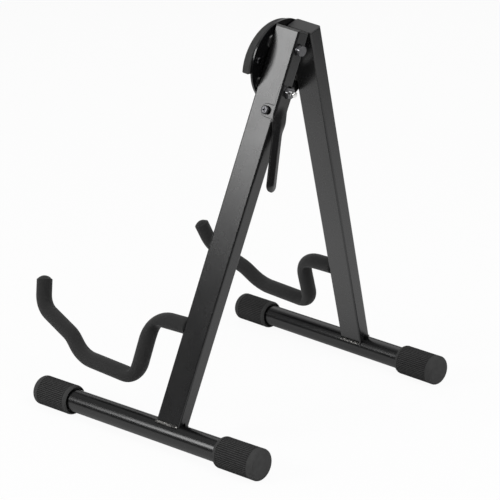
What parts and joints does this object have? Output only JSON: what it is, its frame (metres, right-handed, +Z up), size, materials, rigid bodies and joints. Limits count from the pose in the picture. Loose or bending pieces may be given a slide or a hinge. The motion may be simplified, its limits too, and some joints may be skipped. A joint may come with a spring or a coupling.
{
  "type": "folding guitar stand",
  "caption": "Folding A-frame guitar stand with foam-covered cradle arms, rubber-capped feet, a pivoting lock disc with a bumper, and a squeeze release lever.",
  "frame": {"origin": "on the floor, under the middle of the whole stand's box", "axes": "+X to the leg with the lever, +Y to the back of the stand, +Z up; the padded arms point to -Y"},
  "size_m": [0.3606, 0.3616, 0.4311],
  "materials": {
    "satin_black_paint": "satin black powder coat on welded steel tube",
    "gloss_black_paint": "gloss black enamel on steel",
    "zinc_plated_steel": "zinc-plated steel fasteners",
    "black_zinc_steel": "black zinc-plated steel fasteners",
    "black_foam": "matte closed-cell foam sleeve",
    "black_rubber": "matte moulded rubber",
    "black_plastic": "matte moulded plastic plug"
  },
  "bodies": {
    "right_frame": {"right_leg_tube": "satin_black_paint", "right_top_plug": "black_plastic", "right_leg_welds": "satin_black_paint", "right_arm_rod": "satin_black_paint", "right_arm_foam": "black_foam", "right_foot_tube": "gloss_black_paint", "right_front_cap": "black_rubber", "right_back_cap": "black_rubber", "pivot_bolt": "black_zinc_steel", "pivot_head_washer": "black_zinc_steel", "pivot_spacer_washer": "zinc_plated_steel", "pivot_front_washer": "zinc_plated_steel", "pivot_nut": "zinc_plated_steel", "lock_guide": "zinc_plated_steel", "lock_spring": "zinc_plated_steel", "lever_screw": "black_zinc_steel", "lever_nut": "black_zinc_steel"},
    "left_frame": {"left_leg_tube": "satin_black_paint", "left_top_plug": "black_plastic", "left_leg_welds": "satin_black_paint", "left_arm_rod": "satin_black_paint", "left_arm_foam": "black_foam", "left_foot_tube": "gloss_black_paint", "left_front_cap": "black_rubber", "left_back_cap": "black_rubber", "lock_disc": "gloss_black_paint", "guitar_bumper": "black_rubber", "bumper_screws": "black_zinc_steel", "disc_rivnuts": "zinc_plated_steel", "disc_fixing_screws": "zinc_plated_steel"},
    "lever": {"release_lever": "satin_black_paint"},
    "lock": {"lock_bolt": "zinc_plated_steel", "lock_nut": "black_zinc_steel", "lock_clip": "zinc_plated_steel"}
  },
  "joints": [
    {"name": "leg_fold", "type": "hinge", "parent": "right_frame", "child": "left_frame", "pos_m": [0.01455, 0.0992, 0.40932], "axis": [0, -0.9877, 0.1564], "range_deg": [0, 37.6]},
    {"name": "lever_squeeze", "type": "hinge", "parent": "right_frame", "child": "lever", "pos_m": [0.03627, 0.11147, 0.3446], "axis": [-0.9438, -0.0517, -0.3264], "range_deg": [0, 8]},
    {"name": "lock_slide", "type": "slide", "parent": "right_frame", "child": "lock", "axis": [0, 0.9877, -0.1564], "range_m": [0, 0.0038], "stiffness_N_per_m": 700, "springref_m": -0.004, "deforming": ["lock_spring"]}
  ],
  "couplings": [
    {"joint": "lever_squeeze", "follows": "lock_slide", "rad_per_m": 36.76}
  ]
}
